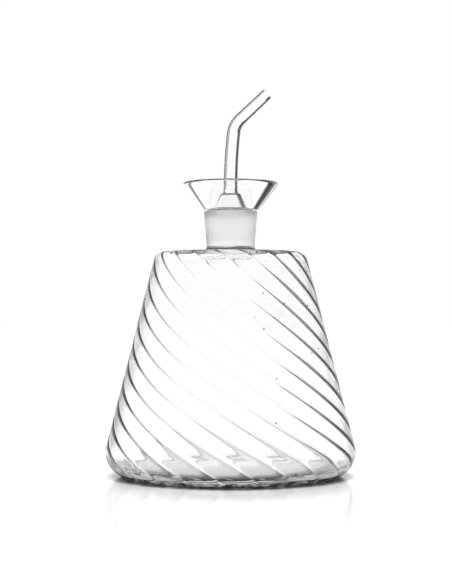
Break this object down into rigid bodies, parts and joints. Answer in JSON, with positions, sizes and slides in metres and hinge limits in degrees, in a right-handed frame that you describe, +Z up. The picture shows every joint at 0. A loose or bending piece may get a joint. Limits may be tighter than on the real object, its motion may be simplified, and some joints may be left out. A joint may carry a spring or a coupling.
{
  "type": "oil cruet",
  "caption": "Cone-shaped oil cruet of clear glass with twisted optic ribs, a frosted ground neck and a stopper with a drip funnel and a bent pouring tube.",
  "frame": {"origin": "middle of the foot, on the surface that the cruet stands on", "axes": "+Z up along the flask's axis, +X the way the tube pours, -Y the side that faces the viewer"},
  "size_m": [0.1118, 0.1118, 0.1747],
  "materials": {
    "clear_glass": "clear colourless borosilicate glass, fire-polished, with soft twisted optic ribs",
    "stopper_glass": "clear colourless borosilicate glass, fire-polished, ground to a frosted finish on the plug"
  },
  "bodies": {
    "root": {"flask": "clear_glass", "stopper": "stopper_glass"}
  },
  "joints": []
}
